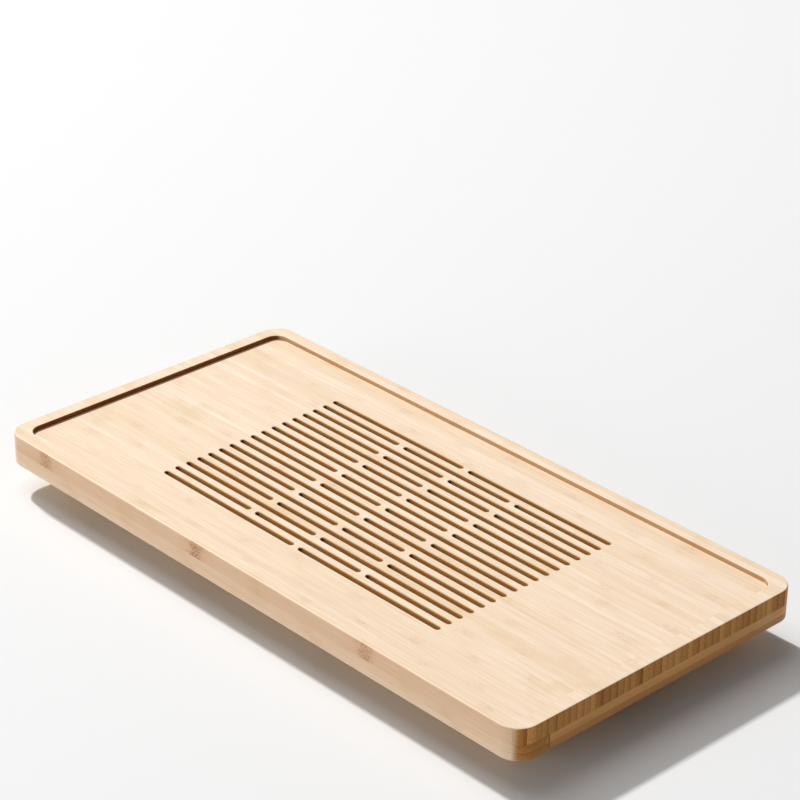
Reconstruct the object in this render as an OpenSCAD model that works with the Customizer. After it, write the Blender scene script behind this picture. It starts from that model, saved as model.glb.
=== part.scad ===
// Gongfu tea tray: a slotted bamboo deck on a set-back base that holds a pull-out drip drawer.
// Frame: +X along the tray towards the drawer, +Y to the back, +Z up.
// The origin is the middle of the foot pads' resting plane. All sizes are in millimetres.

/* [Deck] */
// Length of the deck
deck_l = 480; // [420:5:600]
// Width of the deck
deck_w = 240; // [225:5:320]
// Radius of the deck's four upright corners
corner_r = 15; // [12:1:24]
// Thickness of the slotted top board
board_t = 11; // [9:0.5:16]
// Round-over of the top board's outer edge
edge_round = 1; // [0.5:0.1:2]
// Chamfer along the deck's bottom edge
edge_chamfer = 0.8; // [0.4:0.1:1.5]

/* [Sunken field] */
// Width of the raised rim round the field
rim_w = 10.6; // [8:0.2:20]
// Depth of the field below the rim
field_depth = 3; // [1.5:0.1:4]
// Round-over of the rim's inner edge
field_ease = 0.8; // [0.4:0.1:1.2]
// Corner radius of the field
field_r = 9; // [6:0.5:18]

/* [Drain slots] */
// Number of slot rows, an odd number keeps them centred
slot_rows = 17; // [9:2:17]
// Distance from one row to the next
slot_pitch = 9.15; // [7:0.05:9.2]
// Width of a slot
slot_w = 3.8; // [3:0.1:5]
// Length of a whole row
slot_run = 257; // [200:1:300]
// Bridge of wood between two slots of a row
slot_bridge = 5.8; // [4:0.2:10]
// Distance of the outer bridges from the middle in every second row
bridge_offset = 51.6; // [40:0.2:60]
// Chamfer round each slot's mouth
slot_ease = 0.4; // [0.2:0.1:0.6]

/* [Deck frame] */
// Width of a rail under the top board
rail_w = 25; // [20:1:30]
// Thickness of a rail
rail_t = 11; // [9:0.5:16]

/* [Base] */
// Clear height between the table and the deck
lift_h = 20; // [20:1:30]
// Thickness of a foot pad
pad_t = 2; // [1.5:0.5:3]
// Length of a foot pad
pad_l = 30; // [16:2:40]
// Width of a foot pad
pad_w = 6.4; // [5:0.2:7]
// Distance from a foot pad's middle to the end of the base
pad_inset = 35; // [25:5:60]
// Thickness of the base walls
wall_t = 8; // [8:0.5:12]
// Depth of the lap joint at the ends of the base walls
lap_d = 4; // [2:0.5:5]

/* [Runners] */
// Width of a runner
runner_w = 6; // [5:0.5:8]
// Height of a runner
runner_h = 6; // [5.6:0.2:8]
// Distance from the end wall to the runners
runner_end_gap = 6; // [2:1:20]
// Distance from the runners to the drawer front
runner_front_gap = 1.5; // [1:0.5:5]
// Number of screws in a runner
runner_screws_n = 3; // [2:1:5]

/* [Drip drawer] */
// Wall thickness of the drip drawer
drawer_wall = 2; // [1.6:0.2:3]
// Gap under the drip drawer's floor
drawer_ground = 3.5; // [3:0.5:5]
// Corner radius of the drip drawer, seen from above
drawer_r = 12; // [10:1:20]
// Radius between the drip drawer's floor and its walls, outside
drawer_edge = 5; // [4:0.5:7]
// Thickness of the rim that rides on the runners
drawer_rim_t = 2; // [1.6:0.2:3]
// Gap over that rim, under the deck's frame
drawer_lid_gap = 1.7; // [1.2:0.1:2.5]
// Gap between the drip drawer's body and a runner
drawer_side_gap = 1; // [0.5:0.1:2]
// Gap between the pushed-in drawer's rim and the walls round it
drawer_rim_gap = 1; // [0.5:0.1:2]
// Gap between the pushed-in drawer's body and the end wall
drawer_end_gap = 3; // [2:0.5:6]
// Height of the ribs under the floor
rib_h = 1; // [0.6:0.1:1.4]
// Width of the ribs under the floor
rib_w = 1.6; // [1:0.2:3]
// Number of ribs across the floor
rib_count = 6; // [3:1:10]

/* [Drawer front] */
// Thickness of the drawer's bamboo front
front_t = 8; // [7.5:0.5:12]
// Gap under and over the drawer front
front_gap = 0.5; // [0.3:0.1:1]
// Width of the finger notch
pull_w = 56; // [44:2:70]
// Height of the finger notch
pull_h = 9; // [7:0.5:10]
// Depth of the finger pocket behind the front
pull_d = 14; // [12:1:18]
// Corner radius of the finger notch
pull_corner = 6; // [3:0.5:6.5]

/* [Fits] */
// Running gap between the drawer and what guides it
run_gap = 0.3; // [0.2:0.05:0.6]
// Gap round a screw in its hole
screw_fit = 0.05; // [0.02:0.01:0.1]

/* [Hidden] */
$fn = 64;

// Levels
deck_bottom = lift_h;
board_bottom = deck_bottom + rail_t;
deck_top = board_bottom + board_t;
field_z = deck_top - field_depth;

// Base outline: its walls stand against the inner faces of the deck's rails
base_l = deck_l - 2 * rail_w;
base_w = deck_w - 2 * rail_w;
bay_w = base_w - 2 * wall_t;
end_wall_x = -base_l / 2 + wall_t;

// Runners and drawer
rim_top = deck_bottom - drawer_lid_gap;
rim_bottom = rim_top - drawer_rim_t;
runner_top = rim_bottom - run_gap;
runner_bottom = runner_top - runner_h;
body_w = bay_w - 2 * runner_w - 2 * drawer_side_gap;
rim_span = bay_w - 2 * drawer_rim_gap;
front_x1 = base_l / 2 - run_gap;
front_x0 = front_x1 - front_t;
drawer_x0 = end_wall_x + drawer_end_gap;
rim_x0 = end_wall_x + drawer_rim_gap;
runner_x0 = end_wall_x + runner_end_gap;
runner_x1 = front_x0 - runner_front_gap;
front_z0 = pad_t + front_gap;
front_z1 = deck_bottom - front_gap;
drawer_floor_z = drawer_ground + drawer_wall;

// Finger pocket: the drawer's floor rises over it as a hump
pull_r = min(pull_d, pull_w / 2);
pull_top = front_z0 + pull_h;

// Runner screws: countersunk, driven sideways into the base walls
screw_r = 1.2;
screw_head_r = 2.2;
screw_head_h = 1.2;
screw_l = runner_w + 0.55 * wall_t;
runner_mid_z = (runner_top + runner_bottom) / 2;

// Drawer screws: pan head, driven from inside the drawer into its front
pan_r = 1.5;
pan_head_r = 3;
pan_head_h = 1.8;
pan_l = drawer_wall + 0.7 * front_t;
pan_z = (rim_top + drawer_floor_z) / 2;
pan_near = pull_w / 2 + drawer_wall + 2 * pan_head_r;
pan_far = body_w / 2 - drawer_r - 2 * pan_head_r;
pan_y = [-pan_far, -pan_near, pan_near, pan_far];

BAMBOO_TOP = "#E6CBA2";
BAMBOO_RAIL = "#D6B487";
BAMBOO_BASE = "#CDAA7A";
DRAWER_GREY = "#3A3B3D";
RUBBER_BLACK = "#222222";
STEEL = "#B9BCC0";

// Solid cross-section on z 0, with rounded upper and chamfered lower edges
module eased_section(half, h, top, low) {
    translate([-half, low]) square([2 * half, h - top - low]);
    if (top > 0) {
        translate([top - half, h - top - 0.01]) square([2 * (half - top), top + 0.01]);
        for (s = [-1, 1]) translate([s * (half - top), h - top]) circle(top);
    }
    if (low > 0)
        polygon([[low - half, 0], [half - low, 0], [half, low], [-half, low]]);
}

// Cross-section of a cutter from z 0 to past h, whose mouth at h flares to leave a rounded edge
module flared_section(half, h, ease) {
    // A slightly larger arc meets the upper face at an angle and not as a tangent
    arc = 1.1 * ease;
    translate([-half, 0]) square([2 * half, h + 1]);
    for (s = [0, 1])
        mirror([s, 0]) difference() {
            translate([half - ease, h - ease]) square([2 * ease, ease + 1]);
            translate([half + arc, h - ease]) circle(arc);
        }
}

// Plate with upright round corners and eased edges, standing on z 0
module eased_plate(l, w, h, r, top = 0, low = 0) {
    for (sx = [-1, 1], sy = [-1, 1])
        translate([sx * (l / 2 - r), sy * (w / 2 - r), 0])
            rotate_extrude()
                intersection() {
                    eased_section(r, h, top, low);
                    square([r, h]);
                }
    translate([r - l / 2, 0, 0])
        rotate([90, 0, 90]) linear_extrude(l - 2 * r) eased_section(w / 2, h, top, low);
    translate([0, w / 2 - r, 0])
        rotate([90, 0, 0]) linear_extrude(w - 2 * r) eased_section(l / 2, h, top, low);
}

// Open-topped trough form: the same plate with its lower edge rounded instead of its upper one
module trough_form(l, w, h, r, edge) {
    translate([0, 0, h]) mirror([0, 0, 1]) eased_plate(l, w, h, r, top = edge);
}

// Cutter of the sunken field, from its floor up to past the rim's top
module field_cutter() {
    l = deck_l - 2 * rim_w;
    w = deck_w - 2 * rim_w;
    translate([0, 0, field_z]) {
        for (sx = [-1, 1], sy = [-1, 1])
            translate([sx * (l / 2 - field_r), sy * (w / 2 - field_r), 0])
                rotate_extrude()
                    intersection() {
                        flared_section(field_r, field_depth, field_ease);
                        square([field_r + 2 * field_ease, field_depth + 1]);
                    }
        translate([field_r - l / 2, 0, 0]) rotate([90, 0, 90])
            linear_extrude(l - 2 * field_r) flared_section(w / 2, field_depth, field_ease);
        translate([0, w / 2 - field_r, 0]) rotate([90, 0, 0])
            linear_extrude(w - 2 * field_r) flared_section(l / 2, field_depth, field_ease);
    }
}

// Cutter for one slot from x0 to x1, with round ends and a chamfered mouth
module slot_cutter(x0, x1, y) {
    r = slot_w / 2;
    deep = field_z - board_bottom + 1;
    translate([0, y, board_bottom - 0.5]) {
        translate([x0 + r, -r, 0]) cube([x1 - x0 - slot_w, slot_w, deep]);
        for (x = [x0 + r, x1 - r]) translate([x, 0, 0]) cylinder(r = r, h = deep);
    }
    // The chamfer runs a little past the field's surface
    c = slot_ease + 0.2;
    translate([0, y, field_z - slot_ease]) {
        translate([x0 + r, 0, 0]) rotate([90, 0, 90]) linear_extrude(x1 - x0 - slot_w)
            polygon([[-r, 0], [r, 0], [r + c, c], [-r - c, c]]);
        for (x = [x0 + r, x1 - r]) translate([x, 0, 0]) cylinder(r1 = r, r2 = r + c, h = c);
    }
}

// Edges of the bridges in a row: one in the middle, or two that stand apart
function bridges(row) = row % 2 == 0 ? [0] : [-bridge_offset, bridge_offset];

// Start and end of every slot in a row
function slot_spans(row) =
    let (b = bridges(row), half = slot_run / 2)
    let (starts = concat([-half], [for (x = b) x + slot_bridge / 2]))
    let (ends = concat([for (x = b) x - slot_bridge / 2], [half]))
    [for (k = [0 : len(starts) - 1]) [starts[k], ends[k]]];

module top_board() {
    color(BAMBOO_TOP) difference() {
        translate([0, 0, board_bottom])
            eased_plate(deck_l, deck_w, board_t, corner_r, top = edge_round);
        field_cutter();
        for (row = [0 : slot_rows - 1])
            for (s = slot_spans(row))
                slot_cutter(s[0], s[1], (row - (slot_rows - 1) / 2) * slot_pitch);
    }
}

// Deck outline at rail height, cut to one rail's rectangle
module rail(x0, x1, y0, y1) {
    color(BAMBOO_RAIL) intersection() {
        translate([0, 0, deck_bottom])
            eased_plate(deck_l, deck_w, rail_t, corner_r, low = edge_chamfer);
        translate([x0, y0, deck_bottom - 1]) cube([x1 - x0, y1 - y0, rail_t + 2]);
    }
}

// The front rail runs from corner to corner, the end rails butt against it and run to the back,
// and the back rail fits between them
module front_rail() { rail(-deck_l / 2, deck_l / 2, -deck_w / 2, -deck_w / 2 + rail_w); }
module right_rail() { rail(deck_l / 2 - rail_w, deck_l / 2, -deck_w / 2 + rail_w, deck_w / 2); }
module left_rail() { rail(-deck_l / 2, -deck_l / 2 + rail_w, -deck_w / 2 + rail_w, deck_w / 2); }
module back_rail() { rail(-deck_l / 2 + rail_w, deck_l / 2 - rail_w, deck_w / 2 - rail_w, deck_w / 2); }

// Long base wall on one side, lapped at both ends, with pilot holes for its runner's screws
module long_wall(side) {
    outer = side * base_w / 2;
    inner = side * bay_w / 2;
    low = min(outer, inner);
    color(BAMBOO_BASE) difference() {
        translate([-base_l / 2, low, pad_t]) cube([base_l, wall_t, board_bottom - pad_t]);
        // Lap for the end wall
        translate([-base_l / 2 - 1, side > 0 ? inner - 1 : inner - lap_d, pad_t - 1])
            cube([wall_t + 1, lap_d + 1, board_bottom - pad_t + 2]);
        // Lap for the header over the drawer
        translate([base_l / 2 - wall_t, side > 0 ? inner - 1 : inner - lap_d, deck_bottom])
            cube([wall_t + 1, lap_d + 1, board_bottom - deck_bottom + 1]);
        // Chamfer along the bottom outer edge
        translate([-base_l / 2 - 1, outer, pad_t]) rotate([45, 0, 0])
            translate([0, -edge_chamfer / sqrt(2), -edge_chamfer / sqrt(2)])
                cube([base_l + 2, edge_chamfer * sqrt(2), edge_chamfer * sqrt(2)]);
        runner_holes(side, screw_r + screw_fit);
    }
}

module base_front_wall() { long_wall(-1); }
module base_back_wall() { long_wall(1); }

module base_end_wall() {
    color(BAMBOO_BASE)
        translate([-base_l / 2, -bay_w / 2 - lap_d, pad_t])
            cube([wall_t, bay_w + 2 * lap_d, board_bottom - pad_t]);
}

module base_header() {
    color(BAMBOO_BASE)
        translate([base_l / 2 - wall_t, -bay_w / 2 - lap_d, deck_bottom])
            cube([wall_t, bay_w + 2 * lap_d, board_bottom - deck_bottom]);
}

// Places its child at each runner screw, pointing outwards into the wall
module at_runner_screws(side) {
    step = (runner_x1 - runner_x0) / runner_screws_n;
    for (k = [0 : runner_screws_n - 1])
        translate([runner_x0 + (k + 0.5) * step, side * (bay_w / 2 - runner_w), runner_mid_z])
            rotate([-side * 90, 0, 0]) children();
}

module runner_holes(side, r) {
    at_runner_screws(side) translate([0, 0, -1]) cylinder(r = r, h = screw_l + 1.5);
}

module runner(side) {
    low = side > 0 ? bay_w / 2 - runner_w : -bay_w / 2;
    color(BAMBOO_BASE) difference() {
        translate([runner_x0, low, runner_bottom])
            cube([runner_x1 - runner_x0, runner_w, runner_h]);
        runner_holes(side, screw_r + screw_fit);
        at_runner_screws(side) translate([0, 0, -screw_fit])
            cylinder(r1 = screw_head_r + 3 * screw_fit, r2 = screw_r + 2 * screw_fit,
                     h = screw_head_h + screw_fit);
    }
}

module front_runner() { runner(-1); }
module back_runner() { runner(1); }

module runner_screws() {
    color(STEEL) for (side = [-1, 1])
        at_runner_screws(side) {
            cylinder(r1 = screw_head_r, r2 = screw_r, h = screw_head_h);
            cylinder(r = screw_r, h = screw_l);
        }
}

// Plan of the finger pocket: a stadium centred on the back of the drawer front
module pull_plan(grow) {
    r = pull_r + grow;
    y = pull_w / 2 - pull_r;
    for (s = [-1, 1]) translate([front_x0, s * y]) circle(r);
    translate([front_x0 - r, -y]) square([2 * r, 2 * y]);
}

module drip_drawer() {
    body_l = front_x0 - drawer_x0;
    body_mid = (front_x0 + drawer_x0) / 2;
    body_h = rim_bottom - drawer_ground;
    cavity_l = body_l - 2 * drawer_wall;
    cavity_w = body_w - 2 * drawer_wall;
    color(DRAWER_GREY) difference() {
        union() {
            translate([body_mid, 0, drawer_ground])
                trough_form(body_l, body_w, body_h + 0.5, drawer_r, drawer_edge);
            // Rim that rides on the runners
            translate([(rim_x0 + front_x0) / 2, 0, rim_bottom])
                eased_plate(front_x0 - rim_x0, rim_span, drawer_rim_t, drawer_r, top = 0.6);
            // Ribs under the floor
            for (k = [0 : rib_count - 1])
                translate([drawer_x0 + body_l * (k + 0.5) / rib_count - rib_w / 2,
                           drawer_edge - body_w / 2, drawer_ground - rib_h])
                    cube([rib_w, body_w - 2 * drawer_edge, rib_h + 0.5]);
        }
        difference() {
            translate([body_mid, 0, drawer_floor_z])
                trough_form(cavity_l, cavity_w, rim_top - drawer_floor_z + 1,
                            drawer_r - drawer_wall, drawer_edge - drawer_wall);
            linear_extrude(pull_top + drawer_wall) pull_plan(drawer_wall);
        }
        linear_extrude(pull_top) pull_plan(0);
        at_drawer_screws() translate([0, 0, -1]) cylinder(r = pan_r + screw_fit, h = pan_l + 2);
    }
}

// Places its child at each drawer screw: the head's seat is the drawer's inner face
module at_drawer_screws() {
    for (y = pan_y) translate([front_x0 - drawer_wall, y, pan_z]) rotate([0, 90, 0]) children();
}

module drawer_front() {
    color(BAMBOO_RAIL) difference() {
        translate([front_x0, run_gap - bay_w / 2, front_z0])
            cube([front_t, bay_w - 2 * run_gap, front_z1 - front_z0]);
        // Finger notch with round upper corners
        translate([front_x0 - 1, 0, 0]) rotate([90, 0, 90]) linear_extrude(front_t + 2) {
            for (s = [-1, 1])
                translate([s * (pull_w / 2 - pull_corner), pull_top - pull_corner])
                    circle(pull_corner);
            square([pull_w, 2 * (pull_top - pull_corner)], center = true);
            square([pull_w - 2 * pull_corner, 2 * pull_top], center = true);
        }
        at_drawer_screws() cylinder(r = pan_r + screw_fit, h = pan_l + 0.5);
    }
}

module drawer_screws() {
    color(STEEL) at_drawer_screws() {
        translate([0, 0, -pan_head_h]) cylinder(r = pan_head_r, h = pan_head_h);
        cylinder(r = pan_r, h = pan_l);
    }
}

// Foot pad with round ends under a long wall
module foot_pad(sx, sy) {
    r = pad_w / 2;
    color(RUBBER_BLACK)
        translate([sx * (base_l / 2 - pad_inset), sy * (base_w / 2 - wall_t / 2), 0]) {
            for (s = [-1, 1]) translate([s * (pad_l / 2 - r), 0, 0]) cylinder(r = r, h = pad_t);
            translate([r - pad_l / 2, -r, 0]) cube([pad_l - pad_w, pad_w, pad_t]);
        }
}

top_board();
front_rail();
right_rail();
back_rail();
left_rail();
base_front_wall();
base_back_wall();
base_end_wall();
base_header();
front_runner();
back_runner();
runner_screws();
drip_drawer();
drawer_front();
drawer_screws();
foot_pad(-1, -1);  // foot_pad_front_left
foot_pad(1, -1);  // foot_pad_front_right
foot_pad(-1, 1);  // foot_pad_back_left
foot_pad(1, 1);  // foot_pad_back_right
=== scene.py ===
"""Looks of a bamboo gongfu tea tray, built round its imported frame.

The deck, its rails and the base are laminated bamboo, the drip drawer is moulded plastic,
the foot pads are rubber and the screws are zinc-plated steel. Names that end in _mm are in
millimetres, and all other lengths are in metres.
"""

import logging
import math
from collections.abc import Iterable
from dataclasses import dataclass
from enum import Enum
from functools import partial
from typing import Any

import bmesh
import bpy
from bpy.types import ID, Material, Node, NodeSocket, NodeTree, Object
from mathutils import Matrix, Vector


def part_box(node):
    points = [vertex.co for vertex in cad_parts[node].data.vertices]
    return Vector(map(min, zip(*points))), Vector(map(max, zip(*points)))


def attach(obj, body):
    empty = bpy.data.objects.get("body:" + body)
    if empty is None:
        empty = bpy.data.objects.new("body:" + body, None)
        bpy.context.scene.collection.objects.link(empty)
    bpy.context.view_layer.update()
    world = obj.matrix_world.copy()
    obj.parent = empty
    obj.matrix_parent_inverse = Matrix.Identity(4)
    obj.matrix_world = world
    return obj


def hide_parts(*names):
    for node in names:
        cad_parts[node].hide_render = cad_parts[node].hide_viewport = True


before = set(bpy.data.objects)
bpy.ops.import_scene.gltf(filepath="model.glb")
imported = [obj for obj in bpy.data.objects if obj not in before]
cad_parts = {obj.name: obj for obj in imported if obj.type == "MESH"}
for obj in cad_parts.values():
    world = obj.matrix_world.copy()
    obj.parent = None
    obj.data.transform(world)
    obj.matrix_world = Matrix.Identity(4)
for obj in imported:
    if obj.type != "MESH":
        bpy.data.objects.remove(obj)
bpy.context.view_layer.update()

LOG = logging.getLogger("tea_tray")
MM = 0.001
# What feeds an input: an output, or a node, which stands for its first output in use
Source = Node | NodeSocket
# The values between which a noise texture mostly stays
NOISE_SPAN = (0.3, 0.7)
# The kinds of node that are used the most, and the setting for a soft step
MATH = "ShaderNodeMath"
VECTOR_MATH = "ShaderNodeVectorMath"
MAP_RANGE = "ShaderNodeMapRange"
MIX = "ShaderNodeMix"
COMBINE = "ShaderNodeCombineXYZ"
NOISE = "ShaderNodeTexNoise"
SOFT = {"interpolation_type": "SMOOTHSTEP"}


class Fibres(Enum):
    """The axis along a piece's fibres, and the level axis across them."""

    ALONG_X = ("X", "Y")
    ALONG_Y = ("Y", "X")


class Lay(Enum):
    """How the strips of a laminated piece are glued."""

    ON_EDGE = "on edge"
    FLAT = "flat"


class Head(Enum):
    """The shape of a screw's head, with the swell of its side."""

    COUNTERSUNK = 0.0
    PAN = 0.12


def linear(code: str) -> tuple[float, float, float, float]:
    """Turn an sRGB colour into the linear colour that shaders take.

    Args:
        code: the colour as #RRGGBB.

    Returns:
        Red, green, blue and a full alpha.
    """
    shares = [int(code[i:i + 2], 16) / 255 for i in (1, 3, 5)]
    red, green, blue = (s / 12.92 if s <= 0.04045 else ((s + 0.055) / 1.055) ** 2.4 for s in shares)
    return red, green, blue, 1.0


def add_node(tree: NodeTree, kind: str, sockets: dict[Any, Any] | tuple[Any, ...] = (),
             operation: str | None = None, **settings: Any) -> Node:
    """Add one node with its settings, values and links.

    Args:
        tree: the node tree that gets the node.
        kind: the node's type.
        sockets: input name or number to a value or to what feeds it, or a tuple of these for
            the first inputs. A list feeds several things to one input.
        operation: what a node of maths or a boolean does.
        settings: the node's other properties.

    Returns:
        The new node.
    """
    node = tree.nodes.new(kind)
    if operation is not None:
        node.operation = operation
    for name, value in settings.items():
        setattr(node, name, value)
    for key, value in sockets.items() if isinstance(sockets, dict) else enumerate(sockets):
        for source in value if isinstance(value, list) else [value]:
            if isinstance(source, Node):
                source = next(output for output in source.outputs if output.enabled)
            if isinstance(source, NodeSocket):
                tree.links.new(source, node.inputs[key])
            else:
                node.inputs[key].default_value = source
    return node


def add_object(name: str, data: ID) -> Object:
    """Make an object and put it in the scene.

    Args:
        name: the object's name.
        data: its mesh, lamp or camera.

    Returns:
        The new object.
    """
    thing = bpy.data.objects.new(name, data)
    bpy.context.scene.collection.objects.link(thing)
    return thing


class Surface:
    """A material in the making.

    Attributes:
        material: the material.
        add: adds a node to its tree, as add_node does.
    """

    def __init__(self, name: str) -> None:
        """Start an empty material.

        Args:
            name: the material's name.
        """
        self.material = bpy.data.materials.new(name)
        self.material.use_nodes = True
        self.material.node_tree.nodes.clear()
        self.add = partial(add_node, self.material.node_tree)

    def close(self, sockets: dict[str, Any]) -> Material:
        """Put a Principled shader on the output.

        Args:
            sockets: the shader's values and what feeds its inputs, by their names.

        Returns:
            The finished material.
        """
        shader = self.add("ShaderNodeBsdfPrincipled", sockets)
        self.add("ShaderNodeOutputMaterial", {"Surface": shader})
        return self.material


@dataclass(frozen=True)
class Tones:
    """The colours of one batch of bamboo, each as its lightest and its darkest strips.

    Attributes:
        edge: a strip's narrow edge, cut through the cane's wall.
        flank: a strip's wide side, which lay under the cane's skin.
        end: the end grain.
    """

    edge: tuple[str, str]
    flank: tuple[str, str]
    end: tuple[str, str]


# End grain is much browner than the sides, partly as oil soaks into it and partly as painted shade, since
# it shows at the right end, which stands in shade
BOARD_TONES = Tones(("#F7E6D2", "#E7CBA8"), ("#F2D1B0", "#E7BF98"), ("#D89E5A", "#9E6630"))
FRONT_RAIL_TONES = Tones(("#F6D9BB", "#ECC79F"), ("#F3DCBF", "#E6C49A"), ("#C58E50", "#9B6631"))
# The end rails are drawn a tone browner than the rest, and the right one browner still: that extra brown
# is painted shade
SHADED_RIGHT_RAIL_TONES = Tones(("#E9AB5E", "#B97C38"), ("#E6BD8B", "#D2A26B"), ("#CF9A5E", "#A9753E"))
LEFT_RAIL_TONES = Tones(("#E8BD8B", "#C69A68"), ("#E6C094", "#D4A878"), ("#CC9C66", "#A67848"))
BASE_TONES = Tones(("#E9CDA4", "#D6B183"), ("#E7C9A0", "#D8B287"), ("#CFA06A", "#B28050"))


@dataclass(frozen=True)
class BambooFinish:
    """Strip bamboo, glued up, planed, sanded and wiped with oil.

    The eye sees pale strips that differ a little in tone, hair-fine fibres along them, a speckled
    band wherever a strip's wide side crosses a node of the cane, and browner end grain.

    Attributes:
        name: the material's name.
        tones: the batch's colours.
        fibres: the way the fibres run.
        lay: whether the strips stand on edge or lie flat.
        strip_w_mm: width of a strip, level, at right angles to the fibres.
        strip_h_mm: height of a strip.
        side_mm: place of a strip's side on the level axis.
        base_mm: height of a strip's underside.
        overlap: how far one layer's joints are from those of the layer below, in strips.
        uneven: how far the strips' widths differ, from 0 to 1.
        knuckle_mm: distance from one node of the cane to the next.
        knuckle_at_mm: place of a node on the strip at side_mm.
        knuckle_step: how far the next strip's nodes are shifted, in node distances.
        layer_step: how much darker the lowest layer is, as a share of the way to the darkest.
        cut_mm: half the length, half the width and the floor's height of the field that a
            router has cut, or none.
        glued_mm: places of the ends that are glued to other pieces.
        seed: picks the strips' tones.
    """

    name: str
    tones: Tones
    fibres: Fibres
    lay: Lay
    strip_w_mm: float
    strip_h_mm: float
    side_mm: float
    base_mm: float
    overlap: float = 0.0
    uneven: float = 0.0
    knuckle_mm: float = 155.0
    knuckle_at_mm: float = 0.0
    knuckle_step: float = 0.381966
    layer_step: float = 0.0
    cut_mm: tuple[float, float, float] | None = None
    glued_mm: tuple[float, ...] = ()
    seed: float = 0.0

    def make(self) -> Material:
        """Draw the finish as a material."""
        return BambooPattern(self).draw()


class BambooPattern(Surface):
    """The pattern of one bamboo finish, drawn step by step.

    Attributes:
        look: the finish.
        spot: what the steps have found about the point that is shaded, by name.
    """

    def __init__(self, look: BambooFinish) -> None:
        """Start the pattern.

        Args:
            look: the finish.
        """
        super().__init__(look.name)
        self.look = look
        self.spot: dict[str, Source] = {}

    def facing(self) -> None:
        """Find the place in millimetres, the way the surface faces and what grain it shows."""
        add, look = self.add, self.look
        found = add("ShaderNodeTexCoord").outputs
        place = add(VECTOR_MATH, {0: found["Object"], "Scale": 1 / MM}, "SCALE")
        turned = add(VECTOR_MATH, (found["Normal"],), "ABSOLUTE")
        axes, turn = (add("ShaderNodeSeparateXYZ", (parts,)).outputs for parts in (place, turned))
        along, across = look.fibres.value
        self.spot = {"place": place, "along": axes[along], "across": axes[across], "up": axes["Z"],
                     "turn_across": turn[across], "turn_up": turn["Z"]}
        # End grain shows where a face turns more than about 37 degrees towards the fibres' axis
        self.spot["end"] = add(MAP_RANGE, (turn[along], 0.48, 0.74), **SOFT)
        wide_axis = across if look.lay is Lay.ON_EDGE else "Z"
        self.spot["wide"] = add(MAP_RANGE, (turn[wide_axis], 0.6, 0.85), **SOFT)

    def strip_lattice(self) -> None:
        """Find the strip that a point is in, where in it, and the strip's random values."""
        add, look, spot = self.add, self.look, self.spot
        rise = add(MATH, (spot["up"], look.base_mm), "SUBTRACT")
        layers = add(MATH, (rise, look.strip_h_mm), "DIVIDE")
        layer = add(MATH, (layers,), "FLOOR")
        # A strip reaches half its width to both sides of a point that is half of uneven off
        start = (look.uneven - 1) / 2 - look.side_mm / look.strip_w_mm
        shift = add(MATH, (layer, look.overlap, start), "MULTIPLY_ADD")
        columns = add(MATH, (spot["across"], 1 / look.strip_w_mm, shift), "MULTIPLY_ADD")
        row = {"W": columns, "Scale": 1.0, "Randomness": look.uneven}
        middle = add("ShaderNodeTexVoronoi", row, voronoi_dimensions="1D").outputs["W"]
        to_side = add("ShaderNodeTexVoronoi", row, voronoi_dimensions="1D", feature="DISTANCE_TO_EDGE")
        # A nudge keeps the middle of an even strip from falling just short of its whole number
        nudged = add(MATH, (middle, 0.02), "ADD")
        column = add(MATH, (nudged,), "FLOOR")
        off = add(MATH, (columns, middle), "SUBTRACT")
        key = add(COMBINE, (column, layer, look.seed))
        random = add("ShaderNodeTexWhiteNoise", {"Vector": key}, noise_dimensions="3D").outputs
        spot.update({
            "column": column, "layer": layer, "tone": random["Value"], "spread": random["Color"],
            "in_column": add(MATH, (off, 0.5), "ADD", use_clamp=True),
            "in_layer": add(MATH, (layers,), "FRACT"),
            "side_mm": add(MATH, (to_side, look.strip_w_mm), "MULTIPLY")})

    def joints(self) -> None:
        """Draw the glue lines, each only on faces that cross it."""
        add, look, spot = self.add, self.look, self.spot
        off = add(MATH, (spot["in_layer"], 0.5), "SUBTRACT")
        away = add(MATH, (off,), "ABSOLUTE")
        layer_mm = add(MATH, (away, -look.strip_h_mm, look.strip_h_mm / 2), "MULTIPLY_ADD")
        # A glue line is about 0.1 mm wide, drawn at 0.7 mm so that it shows
        half_line_mm = 0.35
        lines = []
        for to_joint_mm, turn in ((spot["side_mm"], "turn_across"), (layer_mm, "turn_up")):
            line = add(MAP_RANGE, (to_joint_mm, 0.0, half_line_mm, 1.0, 0.0), **SOFT)
            crossed = add(MAP_RANGE, (spot[turn], 0.8, 0.97, 1.0, 0.0))
            lines.append(add(MATH, (line, crossed), "MULTIPLY"))
        spot["joint"] = add(MATH, tuple(lines), "MAXIMUM")

    def fibre_streaks(self) -> None:
        """Draw fine, middling and broad streaks, as noise that is drawn out along the cane."""
        add, spot = self.add, self.spot
        place = add(COMBINE, (spot["along"], spot["across"], spot["up"]))
        # Fibre bundles are about 0.3 mm thick, drawn at twice that so that they show
        sizes_mm = {"fine": (26.0, 0.6), "middling": (60.0, 1.7), "broad": (150.0, 6.0)}
        # Each strip is another piece of cane, so its streaks don't run on into the next
        apart = (40.0, 40.0, 40.0)
        for name, (run_mm, thick_mm) in sizes_mm.items():
            drawn = add(VECTOR_MATH, (place, (1 / run_mm, 1 / thick_mm, 1 / thick_mm)), "MULTIPLY")
            moved = add(VECTOR_MATH, (spot["spread"], apart, drawn), "MULTIPLY_ADD")
            noise = add(NOISE, {"Vector": moved, "Scale": 1.0, "Detail": 2.0, "Roughness": 0.6})
            spot[name] = add(MAP_RANGE, (noise, *NOISE_SPAN))

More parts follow.
